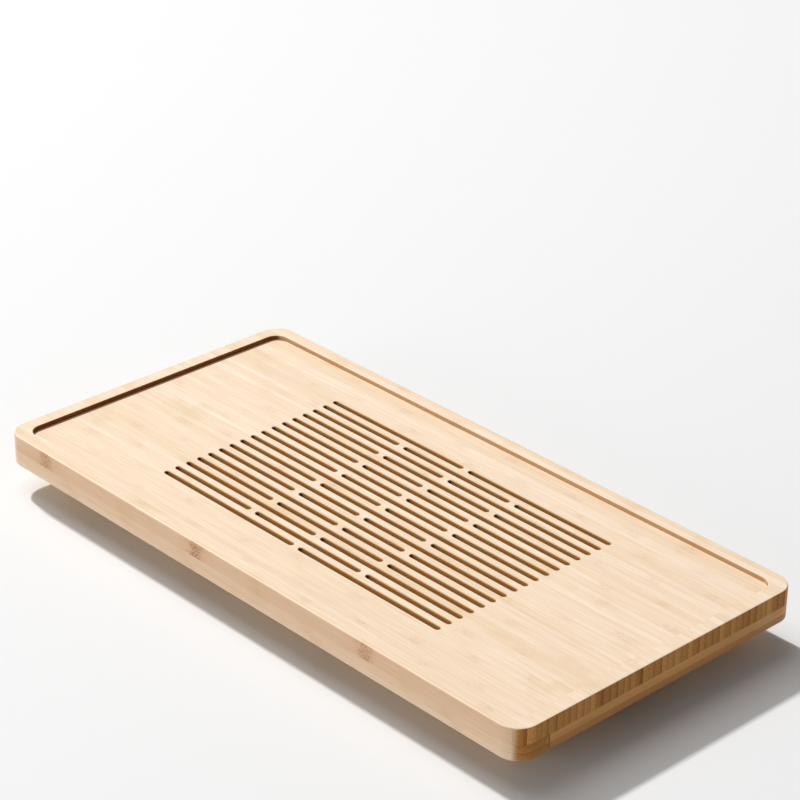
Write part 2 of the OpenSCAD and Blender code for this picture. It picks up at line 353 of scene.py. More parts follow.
    def knuckles(self) -> None:
        """Mark where strips cross a node of the cane: a warm halo, a band and specks in it."""
        add, look, spot = self.add, self.look, self.spot
        start = 0.5 - look.knuckle_at_mm / look.knuckle_mm
        cycle = add(MATH, (spot["along"], 1 / look.knuckle_mm, start), "MULTIPLY_ADD")
        stepped = add(MATH, (spot["column"], look.knuckle_step, cycle), "MULTIPLY_ADD")
        number = add(MATH, (stepped,), "FLOOR")
        share = add(MATH, (stepped,), "FRACT")
        off = add(MATH, (share, 0.5), "SUBTRACT")
        away = add(MATH, (off,), "ABSOLUTE")
        # The edge is ragged every 4 or 5 mm, which adds 6 mm on average
        ragged = add(NOISE, {"Vector": spot["place"], "Scale": 0.22, "Detail": 3.0})
        ragged_mm = add(MATH, (ragged, 12.0), "MULTIPLY")
        away_mm = add(MATH, (away, look.knuckle_mm, ragged_mm), "MULTIPLY_ADD")
        # Some nodes are planed away more than others
        key = add(COMBINE, (spot["column"], spot["layer"], number))
        strength = add("ShaderNodeTexWhiteNoise", {"Vector": key, "W": look.seed}, noise_dimensions="4D")
        strong = add(MAP_RANGE, (strength, 0.0, 1.0, 0.35, 1.0))
        # A node shows as a band on a strip's wide side, and only faintly on its narrow edge
        seen = add(MAP_RANGE, (spot["wide"], 0.0, 1.0, 0.17, 1.0))
        shown = add(MATH, (strong, seen), "MULTIPLY")
        for name, inner_mm, outer_mm in (("halo", 8.0, 32.0), ("band", 7.0, 15.0)):
            fade = add(MAP_RANGE, (away_mm, inner_mm, outer_mm, 1.0, 0.0), **SOFT)
            spot[name] = add(MATH, (fade, shown), "MULTIPLY")
        speck = add(NOISE, {"Vector": spot["place"], "Scale": 0.7, "Detail": 2.0})
        dark = add(MAP_RANGE, (speck, 0.46, 0.6))
        spot["specks"] = add(MATH, (spot["band"], dark), "MULTIPLY")

    def stain(self, colour: Source, layers: Iterable[tuple[Source, Any, Any]]) -> Source:
        """Lay tints over a colour, one after the other.

        Args:
            colour: the colour under them.
            layers: where each tint goes, as a mask, its strength there, and its colour as
                #RRGGBB or as what gives it.

        Returns:
            The stained colour.
        """
        for mask, strength, tint in layers:
            share = self.add(MATH, (mask, strength), "MULTIPLY")
            top = linear(tint) if isinstance(tint, str) else tint
            colour = self.add(MIX, {0: share, 6: colour, 7: top}, data_type="RGBA")
        return colour

    def long_grain(self) -> Source:
        """Colour the strips' sides.

        Returns:
            Their colour.
        """
        add, look, spot = self.add, self.look, self.spot
        lowest = add(MATH, (spot["layer"], 0.5), "LESS_THAN")
        depth = add(MATH, (lowest, look.layer_step), "MULTIPLY")
        for name, share in (("tone", 0.34), ("broad", 0.3), ("middling", 0.36)):
            depth = add(MATH, (spot[name], share, depth), "MULTIPLY_ADD")
        edge, flank = (
            add(MIX, {0: depth, 6: linear(pale), 7: linear(deep)}, data_type="RGBA")
            for pale, deep in (look.tones.edge, look.tones.flank))
        sides = add(MIX, {0: spot["wide"], 6: edge, 7: flank}, data_type="RGBA")
        # Sap leaves rare golden patches a few centimetres long
        sap = add(NOISE, {"Vector": spot["place"], "Scale": 0.03})
        patch = add(MAP_RANGE, (sap, 0.6, 0.75))
        return self.stain(sides, (
            (spot["fine"], 0.22, "#B98A5C"), (patch, 0.3, "#CDAF72"),
            (spot["halo"], 0.3, "#D99B69"), (spot["band"], 0.42, "#C08C5E"),
            (spot["specks"], 0.75, "#85552F")))

    def end_grain(self) -> Source:
        """Colour the strips' cut ends.

        Returns:
            Their colour.
        """
        add, look, spot = self.add, self.look, self.spot
        # The cane is denser and browner towards its skin
        depth = spot["in_column" if look.lay is Lay.ON_EDGE else "in_layer"]
        skin = add(MATH, (depth, 3.0), "POWER")
        tone = add(MATH, (spot["tone"], 0.6), "MULTIPLY")
        browner = add(MATH, (skin, 0.5, tone), "MULTIPLY_ADD")
        pale, deep = (linear(code) for code in look.tones.end)
        end = add(MIX, {0: browner, 6: pale, 7: deep}, data_type="RGBA")
        cut = add(COMBINE, (spot["across"], spot["up"]))
        drawn = add(VECTOR_MATH, (cut, (1.0, 0.45, 1.0)), "MULTIPLY")
        # Vessels are about 0.4 mm apart, drawn at twice that so that they show
        apart_mm = 0.8
        vessels = add("ShaderNodeTexVoronoi", {"Vector": drawn, "Scale": 1 / apart_mm},
                      voronoi_dimensions="2D")
        dots = add(MAP_RANGE, (vessels, 0.12, 0.42, 0.4, 0.0))
        return add(MIX, {0: dots, 6: end, 7: linear("#6B4320")}, data_type="RGBA")

    def butt_joints(self) -> Source:
        """Draw the glue squeezed out where the piece's ends meet other pieces.

        Returns:
            A mask that is 1 at the glued ends.
        """
        # The squeezed-out glue is 1 mm wide, with soft sides of half a millimetre
        inner_mm, outer_mm = 0.5, 1.0
        lines = []
        for place_mm in self.look.glued_mm:
            off = self.add(MATH, (self.spot["along"], place_mm), "SUBTRACT")
            away = self.add(MATH, (off,), "ABSOLUTE")
            lines.append(self.add(MAP_RANGE, (away, inner_mm, outer_mm, 1.0, 0.0), **SOFT))
        return self.add(MATH, (lines[0], lines[-1]), "MAXIMUM")

    def shaded_routed_walls(self) -> Source:
        """Find the walls that a router has cut, which get painted shade.

        Returns:
            A mask that is 1 on the walls of the field and of the slots.
        """
        share = self.add(MAP_RANGE, (self.spot["turn_up"], 0.5, 0.9, 1.0, 0.0))
        for name, half_mm in zip(("along", "across"), self.look.cut_mm):
            away = self.add(MATH, (self.spot[name],), "ABSOLUTE")
            inside = self.add(MATH, (away, half_mm), "LESS_THAN")
            share = self.add(MATH, (share, inside), "MULTIPLY")
        return share

    def end_wall_foot_painted_shadow(self) -> Source:
        """Find the floor at the foot of the field's end walls, which gets a painted shadow.

        Returns:
            A mask that is 1 along the end walls' foot.
        """
        add, spot = self.add, self.spot
        half_mm, _, floor_mm = self.look.cut_mm
        away = add(MATH, (spot["along"],), "ABSOLUTE")
        near = add(MAP_RANGE, (away, half_mm - 3.7, half_mm - 2.9))
        level = add(MATH, (spot["turn_up"], 0.9), "GREATER_THAN")
        sunken = add(MATH, (spot["up"], floor_mm + 1.0), "LESS_THAN")
        floor = add(MATH, (level, sunken), "MULTIPLY")
        return add(MATH, (near, floor), "MULTIPLY")

    def draw(self) -> Material:
        """Draw the patterns and join them into colour, gloss and relief.

        Returns:
            The bamboo material.
        """
        for step in (self.facing, self.strip_lattice, self.joints, self.fibre_streaks, self.knuckles):
            step()
        add, look, spot = self.add, self.look, self.spot
        end = spot["end"]
        wood = add(MIX, {0: end, 6: self.long_grain(), 7: self.end_grain()}, data_type="RGBA")
        glue = add(MAP_RANGE, (end, 0.0, 1.0, 0.12, 0.4))
        layers = [(spot["joint"], glue, "#7C5330")]
        if look.cut_mm is not None:
            slots = add(MATH, (spot["up"], look.cut_mm[2]), "LESS_THAN")
            # Painted shade on the walls of the field and the slots: browner on the field's walls, golden
            # on the slots' walls and darkest on end grain
            field_wall, slot_wall, end_grain_wall_shade = (linear(code) for code in ("#C69B66", "#F2C072", "#783E0A"))
            wall = add(MIX, {0: slots, 6: field_wall, 7: slot_wall}, data_type="RGBA")
            painted_wall_shade = add(MIX, {0: end, 6: wall, 7: end_grain_wall_shade}, data_type="RGBA")
            # The floor at the foot of the field's end walls gets a brown painted shadow
            layers += [(self.shaded_routed_walls(), 0.85, painted_wall_shade), (self.end_wall_foot_painted_shadow(), 0.7, "#9C5A22")]
        if look.glued_mm:
            layers.append((self.butt_joints(), 0.8, "#5E3714"))
        # Open pores leave end grain dull and almost without a sheen
        gloss = add(MAP_RANGE, (end, 0.0, 1.0, 0.46, 0.62))
        sheen = add(MAP_RANGE, (end, 0.0, 1.0, 0.4, 0.1))
        # The fibres give a faint relief, and the joints are twice as deep
        height = add(MATH, (spot["joint"], -2.0, spot["fine"]), "MULTIPLY_ADD")
        relief = add("ShaderNodeBump", {"Height": height, "Distance": 0.012 * MM})
        return self.close({"Base Color": self.stain(wood, layers), "Roughness": gloss, "IOR": 1.5,
                           "Specular IOR Level": sheen, "Normal": relief})


@dataclass(frozen=True)
class SolidFinish:
    """A finish of one colour, with clouds in its gloss and, where it is moulded, a fine grain.

    Attributes:
        name: the material's name.
        colour: its colour.
        roughness: roughness of the glossiest and of the dullest places.
        ior: its index of refraction.
        metallic: 1 for a metal.
        cloud_mm: size of the clouds.
        grain_mm: spacing of the grain, or 0 for none.
        relief_mm: height of the grain.
    """

    name: str
    colour: str
    roughness: tuple[float, float]
    ior: float = 1.5
    metallic: float = 0.0
    cloud_mm: float = 18.0
    grain_mm: float = 0.0
    relief_mm: float = 0.0

    def make(self) -> Material:
        """Build the material.

        Returns:
            The finished material.
        """
        surface = Surface(self.name)
        add = surface.add
        place = add("ShaderNodeTexCoord").outputs["Object"]
        cloud = add(NOISE, {"Vector": place, "Scale": 1 / (self.cloud_mm * MM)})
        gloss = add(MAP_RANGE, (cloud, *NOISE_SPAN, *self.roughness))
        sockets = {"Base Color": linear(self.colour), "IOR": self.ior, "Metallic": self.metallic,
                   "Roughness": gloss}
        if self.grain_mm:
            grain = add(NOISE, {"Vector": place, "Scale": 1 / (self.grain_mm * MM), "Detail": 2.0})
            relief = add("ShaderNodeBump", {"Height": grain, "Distance": self.relief_mm * MM})
            sockets["Normal"] = relief
        return surface.close(sockets)


def dress(node: str, material: Material) -> None:
    """Give a CAD node its finish.

    Args:
        node: the node's name.
        material: its new material.
    """
    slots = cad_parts[node].data.materials
    slots.clear()
    slots.append(material)
    LOG.info("%s is dressed in %s", node, material.name)


def box_mm(node: str) -> tuple[Vector, Vector]:
    """Read a CAD node's lowest and highest corner, in millimetres."""
    low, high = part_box(node)
    return low / MM, high / MM


def solids_of(node: str) -> list[tuple[Vector, Vector]]:
    """Find the separate solids of a CAD node.

    Args:
        node: the node's name.

    Returns:
        The lowest and highest corner of each solid, in order along X and then Y.
    """
    form = bmesh.new()
    form.from_mesh(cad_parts[node].data)
    bmesh.ops.remove_doubles(form, verts=form.verts, dist=0.001 * MM)
    left = set(form.verts)
    boxes = []
    while left:
        reached = [left.pop()]
        places = []
        while reached:
            vert = reached.pop()
            places.append(vert.co.copy())
            near = {edge.other_vert(vert) for edge in vert.link_edges} & left
            left -= near
            reached.extend(near)
        boxes.append(tuple(Vector(end(p[i] for p in places) for i in range(3)) for end in (min, max)))
    form.free()
    return sorted(boxes, key=lambda box: (round(box[0].x, 6), box[0].y))


class ShapeTree:
    """A Geometry Nodes tree that sets a copy of one shape on each of a few points.

    Attributes:
        tree: the node tree.
        add: adds a node to it, as add_node does.
        given: its inputs by name, the points as Geometry and the sizes.
    """

    def __init__(self, name: str, sizes: Iterable[str]) -> None:
        """Start the tree.

        Args:
            name: the tree's name.
            sizes: names of its number inputs.
        """
        self.tree = bpy.data.node_groups.new(name, "GeometryNodeTree")
        sockets = [("Geometry", "INPUT", "NodeSocketGeometry"),
                   *((size, "INPUT", "NodeSocketFloat") for size in sizes),
                   ("Geometry", "OUTPUT", "NodeSocketGeometry")]
        for socket, side, kind in sockets:
            self.tree.interface.new_socket(socket, in_out=side, socket_type=kind)
        self.add = partial(add_node, self.tree)
        self.given = self.add("NodeGroupInput").outputs

    def close(self, shape: Node, material: Material, turn: Any = (0.0, 0.0, 0.0)) -> None:
        """Set the copies and end in real geometry with its material.

        Args:
            shape: the shape to copy.
            material: its material.
            turn: the copies' rotation, or what feeds it.
        """
        copies = self.add("GeometryNodeInstanceOnPoints", {
            "Points": self.given["Geometry"], "Instance": shape, "Rotation": turn})
        real = self.add("GeometryNodeRealizeInstances", (copies,))
        dressed = self.add("GeometryNodeSetMaterial", {"Geometry": real, "Material": material})
        self.add("NodeGroupOutput", (dressed,))

    def grow(self, name: str, sizes: dict[str, float], points: list[Vector],
             aims: list[Vector] | None = None) -> Object:
        """Run the tree and keep its result as a plain mesh.

        Args:
            name: the new piece's name.
            sizes: the values of its number inputs, in metres where they are lengths.
            points: where the copies go.
            aims: the way each copy looks, kept as the attribute aim.

        Returns:
            The finished piece.
        """
        mesh = bpy.data.meshes.new(name)
        mesh.from_pydata([tuple(point) for point in points], [], [])
        if aims:
            aim = mesh.attributes.new("aim", "FLOAT_VECTOR", "POINT")
            for number, direction in enumerate(aims):
                aim.data[number].vector = direction
        piece = add_object(name, mesh)
        modifier = piece.modifiers.new("shape", "NODES")
        modifier.node_group = self.tree
        for item in self.tree.interface.items_tree:
            if item.in_out == "INPUT" and item.name in sizes:
                modifier[item.identifier] = sizes[item.name]
        graph = bpy.context.evaluated_depsgraph_get()
        piece.data = bpy.data.meshes.new_from_object(piece.evaluated_get(graph))
        piece.modifiers.clear()
        piece.data.name = name
        LOG.info("%s has %d faces", name, len(piece.data.polygons))
        return piece


@dataclass
class Deck:
    """The slotted board and the four rails of the frame under it.

    Attributes:
        strip_mm: thickness of the bamboo strips.
        first_strip_mm: width that planing left of the board's front strip.
        flat_strip_mm: width of the strips that lie flat in the rails.
        planed_mm: what planing took off the outer flat strips.
        rim_mm: width of the rim, a little less than the real one.
        field_mm: depth of the field, a little more than the real one.
        board_seed: picks the tones of the board's strips.
        front_knuckle_mm: place of a node on the board's front strip.
        rail_knuckle_mm: place of a node on the front rail's outer strips.
    """

    strip_mm: float = 5.5
    first_strip_mm: float = 3.0
    flat_strip_mm: float = 22.0
    planed_mm: float = 4.5
    rim_mm: float = 9.6
    field_mm: float = 3.2
    board_seed: float = 6.0
    front_knuckle_mm: float = -196.0
    rail_knuckle_mm: float = -47.0

    def build(self) -> None:
        """Dress the rails, and the top board, whose strips stand on edge."""
        for node in ("front_rail", "back_rail", "right_rail", "left_rail"):
            self.dress_rail(node)
        low, high = box_mm("top_board")
        # The one layer is drawn past the top and the underside, so that neither lies on a joint
        slack_mm = 1.0
        board = BambooFinish(
            "oiled_bamboo_top_board", BOARD_TONES, Fibres.ALONG_X, Lay.ON_EDGE,
            strip_w_mm=self.strip_mm, strip_h_mm=high.z - low.z + 2 * slack_mm,
            side_mm=low.y + self.first_strip_mm - self.strip_mm,
            base_mm=low.z - slack_mm, uneven=0.6, knuckle_at_mm=self.front_knuckle_mm,
            cut_mm=(high.x - self.rim_mm, high.y - self.rim_mm, high.z - self.field_mm),
            seed=self.board_seed)
        dress("top_board", board.make())

    def dress_rail(self, node: str) -> None:
        """Dress one rail, whose strips lie flat in two layers.

        Args:
            node: the rail's name.
        """
        low, high = box_mm(node)
        at_end = high.y - low.y > high.x - low.x
        start, end = (low.x, high.x) if at_end else (low.y, high.y)
        slack_mm = 0.2
        # The strips are counted from the deck's outside
        outer = start - self.planed_mm if start < 0 else end + self.planed_mm - 2 * self.flat_strip_mm
        tones = {"right_rail": SHADED_RIGHT_RAIL_TONES, "left_rail": LEFT_RAIL_TONES}
        # The front rail runs from corner to corner, and the others are glued in behind it
        glued = {"front_rail": (), "back_rail": (low.x, high.x)}.get(node, (low.y,))
        rail = BambooFinish(
            f"oiled_bamboo_{node}", tones.get(node, FRONT_RAIL_TONES),
            Fibres.ALONG_Y if at_end else Fibres.ALONG_X, Lay.FLAT,
            strip_w_mm=self.flat_strip_mm, strip_h_mm=(high.z - low.z) / 2 + 0.75 * slack_mm,
            side_mm=outer, base_mm=low.z - slack_mm, overlap=0.8, knuckle_mm=119.0,
            knuckle_at_mm=self.rail_knuckle_mm, knuckle_step=0.07, layer_step=0.6 if at_end else -0.2,
            glued_mm=glued, seed=len(node))
        dress(node, rail.make())


@dataclass(frozen=True)
class ScrewSet:
    """The screws of one CAD node, each with a cross recess and a thread.

    Attributes:
        node: the CAD node.
        body: the body that they ride on.
        head: the shape of the head.
        head_r_mm: radius of the head.
        head_h_mm: height of the head.
        shank_r_mm: outer radius of the thread.
        pitch_mm: rise of one turn of the thread.
    """

    node: str
    body: str
    head: Head
    head_r_mm: float
    head_h_mm: float
    shank_r_mm: float
    pitch_mm: float = 1.1

    def build(self, material: Material) -> None:
        """Make the screws where the CAD node has them.

        Args:
            material: their finish.
        """
        seats, aims, length = self.seats()
        sizes = {"Head radius": self.head_r_mm * MM, "Head height": self.head_h_mm * MM,
                 "Shank radius": self.shank_r_mm * MM, "Length": length,
                 "Pitch": self.pitch_mm * MM}
        shape = ShapeTree(f"{self.node}_tree", sizes)
        aim = shape.add("GeometryNodeInputNamedAttribute", {"Name": "aim"}, data_type="FLOAT_VECTOR")
        turned = shape.add("FunctionNodeAlignRotationToVector", {"Vector": aim}, axis="Z")
        shape.close(self.screw(shape), material, turned)
        screws = shape.grow(f"cross_{self.node}", sizes, seats, aims)
        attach(screws, self.body)
        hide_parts(self.node)

    def seats(self) -> tuple[list[Vector], list[Vector], float]:
        """Read the screws' places from the CAD solids.

        Returns:
            The middle of each head's face, the way each screw points, and their whole length.
        """
        seats, aims, length = [], [], 0.0
        for low, high in solids_of(self.node):
            size = high - low
            middle = (low + high) / 2
            axis = max(range(3), key=lambda i: size[i])
            # The runners' screws point outwards and the drawer's point to its front
            aim = Vector()
            aim[axis] = math.copysign(1.0, middle[axis])
            length = size[axis]
            seats.append(middle - aim * length / 2)
            aims.append(aim)
        return seats, aims, length

    def screw(self, shape: ShapeTree) -> Node:
        """Make one screw, with its face at z 0 and its tip upwards.

        Args:
            shape: the screws' tree.

        Returns:
            The screw's geometry.
        """
        add, given = shape.add, shape.given
        head = self.drilled_head(shape)
        core, tip_h = (add(MATH, (given["Shank radius"], share), "MULTIPLY") for share in (0.8, 1.6))
        straight = add(MATH, (given["Length"], tip_h), "SUBTRACT")
        blunt = 0.2 * MM
        shank, tip = (
            add("GeometryNodeMeshCone", {
                "Vertices": 16, "Radius Top": top, "Radius Bottom": core, "Depth": depth})
            for top, depth in ((core, straight), (blunt, tip_h)))
        tip_at = add(COMBINE, {"Z": straight})
        tip_moved = add("GeometryNodeTransform", {"Geometry": tip, "Translation": tip_at})
        thread = self.thread(shape, core, straight)
        return add("GeometryNodeJoinGeometry", ([head, shank, tip_moved, thread],))

    def drilled_head(self, shape: ShapeTree) -> Node:
        """Make the head, with its face at z 0 and a cross recess in it.

        Args:
            shape: the screws' tree.

        Returns:
            The head's geometry.
        """
        add, given = shape.add, shape.given
        wide, high = given["Head radius"], given["Head height"]
        face, long, short = (add(MATH, (wide, share), "MULTIPLY") for share in (0.64, 1.1, 0.24))
        # The face is at the cone's foot and the shank at its top
        foot, top = (wide, given["Shank radius"]) if self.head is Head.COUNTERSUNK else (face, wide)
        cone = add("GeometryNodeMeshCone", {
            "Vertices": 28, "Side Segments": 6, "Radius Top": top, "Radius Bottom": foot,
            "Depth": high})
        # The side swells the most at half its height
        place = add("GeometryNodeInputPosition")
        rise = add("ShaderNodeSeparateXYZ", (place,)).outputs["Z"]
        share = add(MATH, (rise, high), "DIVIDE")
        rest = add(MATH, (1.0, share), "SUBTRACT")
        bow = add(MATH, (share, rest), "MULTIPLY")
        swell = add(MATH, (bow, 4 * self.head.value), "MULTIPLY")
        level = add(VECTOR_MATH, (place, (1.0, 1.0, 0.0)), "MULTIPLY")
        offset = add(VECTOR_MATH, {0: level, "Scale": swell}, "SCALE")
        domed = add("GeometryNodeSetPosition", {"Geometry": cone, "Offset": offset})
        bars = [add("GeometryNodeMeshCube", {"Size": add(COMBINE, (*sides, high))})
                for sides in ((long, short), (short, long))]
        return add("GeometryNodeMeshBoolean", {"Mesh 1": domed, "Mesh 2": bars},
                   "DIFFERENCE", solver="EXACT")

    def thread(self, shape: ShapeTree, core: Node, height: Node) -> Node:
        """Wind the thread round the shank.

        Args:
            shape: the screws' tree.
            core: radius under the thread.
            height: length of the straight shank.

        Returns:
            The thread's geometry.
        """
        add, given = shape.add, shape.given
        run = add(MATH, (height, given["Head height"]), "SUBTRACT")
        turns = add(MATH, (run, given["Pitch"]), "DIVIDE")
        helix = add("GeometryNodeCurveSpiral", {
            "Resolution": 14, "Rotations": turns, "Start Radius": core, "End Radius": core,
            "Height": run})
        crest = add(MATH, (given["Shank radius"], core), "SUBTRACT")
        section = add("GeometryNodeCurvePrimitiveCircle", {"Resolution": 4, "Radius": crest})
        swept = add("GeometryNodeCurveToMesh", {
            "Curve": helix, "Profile Curve": section, "Fill Caps": True})
        foot = add(COMBINE, {"Z": given["Head height"]})
        return add("GeometryNodeTransform", {"Geometry": swept, "Translation": foot})


@dataclass(frozen=True)
class FootPads:
    """Rubber strips with round ends, a soft lower edge and ribs that grip the table.

    Attributes:
        edge_mm: radius of the lower edge.
        rib_mm: height of the ribs.
        rib_pitch_mm: distance from one rib to the next.
    """

    edge_mm: float = 0.7
    rib_mm: float = 0.4
    rib_pitch_mm: float = 2.2

    def build(self, nodes: Iterable[str], material: Material) -> None:
        """Make a pad in place of each of these CAD nodes.

        Args:
            nodes: the CAD nodes.
            material: the pads' finish.
        """
        names = ("Length", "Width", "Thickness", "Edge radius", "Rib height", "Rib pitch")
        shape = ShapeTree("foot_pad_tree", names)
        row = shape.add(MATH, (shape.given["Length"], shape.given["Width"]), "SUBTRACT")
        parts = [self.body(shape, row), self.ribs(shape, row)]
        shape.close(shape.add("GeometryNodeJoinGeometry", (parts,)), material)
        for node in nodes:
            low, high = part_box(node)
            sizes = (*(high - low), self.edge_mm * MM, self.rib_mm * MM, self.rib_pitch_mm * MM)
            middle = (low + high) / 2
            middle.z = low.z
            pad = shape.grow(f"ribbed_{node}", dict(zip(names, sizes)), [middle])
            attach(pad, "tray")
            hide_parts(node)

    def body(self, shape: ShapeTree, row: Node) -> Node:
        """Draw a cylinder out into a strip with round ends, and round its lower edge.

        Args:
            shape: the pads' tree.
            row: distance between the middles of the round ends.

        Returns:
            The strip's geometry, whose underside is at the height of the ribs.
        """
        add, given = shape.add, shape.given
        edge, rib = given["Edge radius"], given["Rib height"]
        deep = add(MATH, (given["Thickness"], rib), "SUBTRACT")
        radius = add(MATH, (given["Width"], 0.5), "MULTIPLY")
        drum = add("GeometryNodeMeshCylinder", {
            "Vertices": 40, "Side Segments": 9, "Radius": radius, "Depth": deep})
        middle = add(MATH, (deep, 0.5, rib), "MULTIPLY_ADD")
        lift = add(COMBINE, {"Z": middle})
        lifted = add("GeometryNodeTransform", {"Geometry": drum, "Translation": lift})
        place = add("GeometryNodeInputPosition")
        parts = add("ShaderNodeSeparateXYZ", (place,)).outputs
        # The lower edge follows a quarter circle: its inset falls to nothing at the edge radius
        rise = add(MATH, (parts["Z"], rib), "SUBTRACT")
        under = add(MAP_RANGE, (rise, 0.0, edge, 1.0, 0.0))
        square = add(MATH, (under, 2.0), "POWER")
        rest = add(MATH, (1.0, square), "SUBTRACT")
        root = add(MATH, (rest,), "SQRT")
        share = add(MATH, (root, 1.0), "SUBTRACT")
        inset = add(MATH, (share, edge), "MULTIPLY")
        flat = add(VECTOR_MATH, (place, (1.0, 1.0, 0.0)), "MULTIPLY")
        outward = add(VECTOR_MATH, (flat,), "NORMALIZE")
        pulled = add(VECTOR_MATH, {0: outward, "Scale": inset}, "SCALE")
        # The dead band keeps the two points at the middle of the long sides where they are
        band = 0.1 * MM
        end = add(MAP_RANGE, (parts["X"], -band, band, -0.5, 0.5))
        reach = add(MATH, (row, end), "MULTIPLY")
        drawn_out = add(COMBINE, (reach,))
        offset = add(VECTOR_MATH, (pulled, drawn_out), "ADD")
        return add("GeometryNodeSetPosition", {"Geometry": lifted, "Offset": offset})

    def ribs(self, shape: ShapeTree, row: Node) -> Node:
        """Set half-round ribs across the underside, as far as the round ends.

        Args:
            shape: the pads' tree.
            row: distance between the middles of the round ends.

        Returns:
            The ribs as instances.
        """
        add, given = shape.add, shape.given
        rib = given["Rib height"]
        steps = add(MATH, (row, given["Rib pitch"]), "DIVIDE")
        whole = add(MATH, (steps,), "FLOOR")
        count = add(MATH, (whole, 1.0), "ADD")
        start_x = add(MATH, (row, -0.5), "MULTIPLY")
        pitch = add(MATH, (row, whole), "DIVIDE")
        start = add(COMBINE, {"X": start_x, "Z": rib})
        step = add(COMBINE, (pitch,))
        line = add("GeometryNodeMeshLine", {"Count": count, "Start Location": start, "Offset": step})
        # A rib stops one and a half edge radii short of each side
        span = add(MATH, (given["Edge radius"], -3.0, given["Width"]), "MULTIPLY_ADD")
        drum = add("GeometryNodeMeshCylinder", {"Vertices": 10, "Radius": rib, "Depth": span})
        return add("GeometryNodeInstanceOnPoints", {
            "Points": line, "Instance": drum, "Rotation": (math.pi / 2, 0.0, 0.0)})


@dataclass
class Base:
    """The set-back base under the deck, its drawer runners, their screws and the foot pads.

    Attributes:
        strip_mm: height of the strips in the walls.
        strip_w_mm: thickness of the strips in the walls.
        screws: the screws that hold the runners.
        pads: the foot pads.
    """

    strip_mm: float = 6.5
    strip_w_mm: float = 5.5
    screws: ScrewSet = ScrewSet(
        "runner_screws", "tray", Head.COUNTERSUNK, head_r_mm=2.2, head_h_mm=1.2, shank_r_mm=1.2)
    pads: FootPads = FootPads()

    def build(self, steel: Material, rubber: Material) -> None:
        """Dress the walls and runners and make the screws and pads.

        Args:
            steel: the screws' finish.
            rubber: the pads' finish.
        """
        along_x = ("base_front_wall", "base_back_wall", "front_runner", "back_runner")
        # The strips start a little outside a piece, so that none of its faces lies on a joint
        side_slack_mm, foot_slack_mm = 0.4, 0.3
        for node in (*along_x, "base_end_wall", "base_header"):
            low, _ = box_mm(node)
            fibres, side = (Fibres.ALONG_X, low.y) if node in along_x else (Fibres.ALONG_Y, low.x)
            wood = BambooFinish(
                f"sanded_bamboo_{node}", BASE_TONES, fibres, Lay.FLAT, strip_w_mm=self.strip_w_mm,
                strip_h_mm=self.strip_mm, side_mm=side - side_slack_mm, base_mm=low.z - foot_slack_mm,
                knuckle_mm=136.0, knuckle_at_mm=low.z * 9.0, seed=len(node))
            dress(node, wood.make())
        self.screws.build(steel)
        self.pads.build(sorted(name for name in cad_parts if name.startswith("foot_pad")), rubber)


@dataclass
class DripDrawer:
    """The moulded tray that catches the water, its bamboo front and the screws between them.

    Attributes:
        strip_mm: height of the strips in the front.
        screws: the screws that hold the front.
    """

    strip_mm: float = 5.5
    screws: ScrewSet = ScrewSet(
        "drawer_screws", "drawer", Head.PAN, head_r_mm=3.0, head_h_mm=1.8, shank_r_mm=1.5)

    def build(self, steel: Material, plastic: Material) -> None:
        """Dress the tray and its front and make the screws.

        Args:
            steel: the screws' finish.
            plastic: the tray's finish.
        """
        dress("drip_drawer", plastic)
        low, high = box_mm("drawer_front")
        # The one row of strips reaches past both faces, and the lowest layer is planed down
        slack_mm, planed_mm = 0.5, 1.6
        front = BambooFinish(
            "oiled_bamboo_drawer_front", BASE_TONES, Fibres.ALONG_Y, Lay.FLAT,
            strip_w_mm=high.x - low.x + 2 * slack_mm, strip_h_mm=self.strip_mm,
            side_mm=low.x - slack_mm, base_mm=low.z - planed_mm,
            knuckle_mm=150.0, knuckle_at_mm=52.0, seed=4.0)
        dress("drawer_front", front.make())
        self.screws.build(steel)


def looking(azimuth: float, elevation: float, distance: float, target: Vector) -> Matrix:
    """Place a lamp or the camera so that it looks at a point.

    Args:
        azimuth: where it stands, seen from the point, as an angle from +X towards +Y in degrees.
        elevation: its angle above the table, in degrees.
        distance: its distance from the point.
        target: the point.

    Returns:
        Its place and turn.
    """
    turn, rise = math.radians(azimuth), math.radians(elevation)
    away = Vector((math.cos(turn) * math.cos(rise), math.sin(turn) * math.cos(rise), math.sin(rise)))
    facing = away.to_track_quat("Z", "Y").to_matrix().to_4x4()
    return Matrix.Translation(target + away * distance) @ facing


@dataclass(frozen=True)
class SoftBox:
    """A square studio lamp that points at the middle of the set.

    Attributes:
        name: the lamp's name.
        azimuth: angle from +X towards +Y, in degrees.
        elevation: angle above the table, in degrees.
        distance: distance from the middle of the set.
        size: side of the lamp.
        power: its power in watts.
    """

    name: str
    azimuth: float
    elevation: float
    distance: float
    size: float
    power: float

    def place(self) -> None:
        """Set the lamp up."""
        lamp = bpy.data.lights.new(self.name, "AREA")
        lamp.shape = "SQUARE"
        lamp.size = self.size
        lamp.energy = self.power
        box = add_object(self.name, lamp)
        box.matrix_world = looking(self.azimuth, self.elevation, self.distance, Vector())


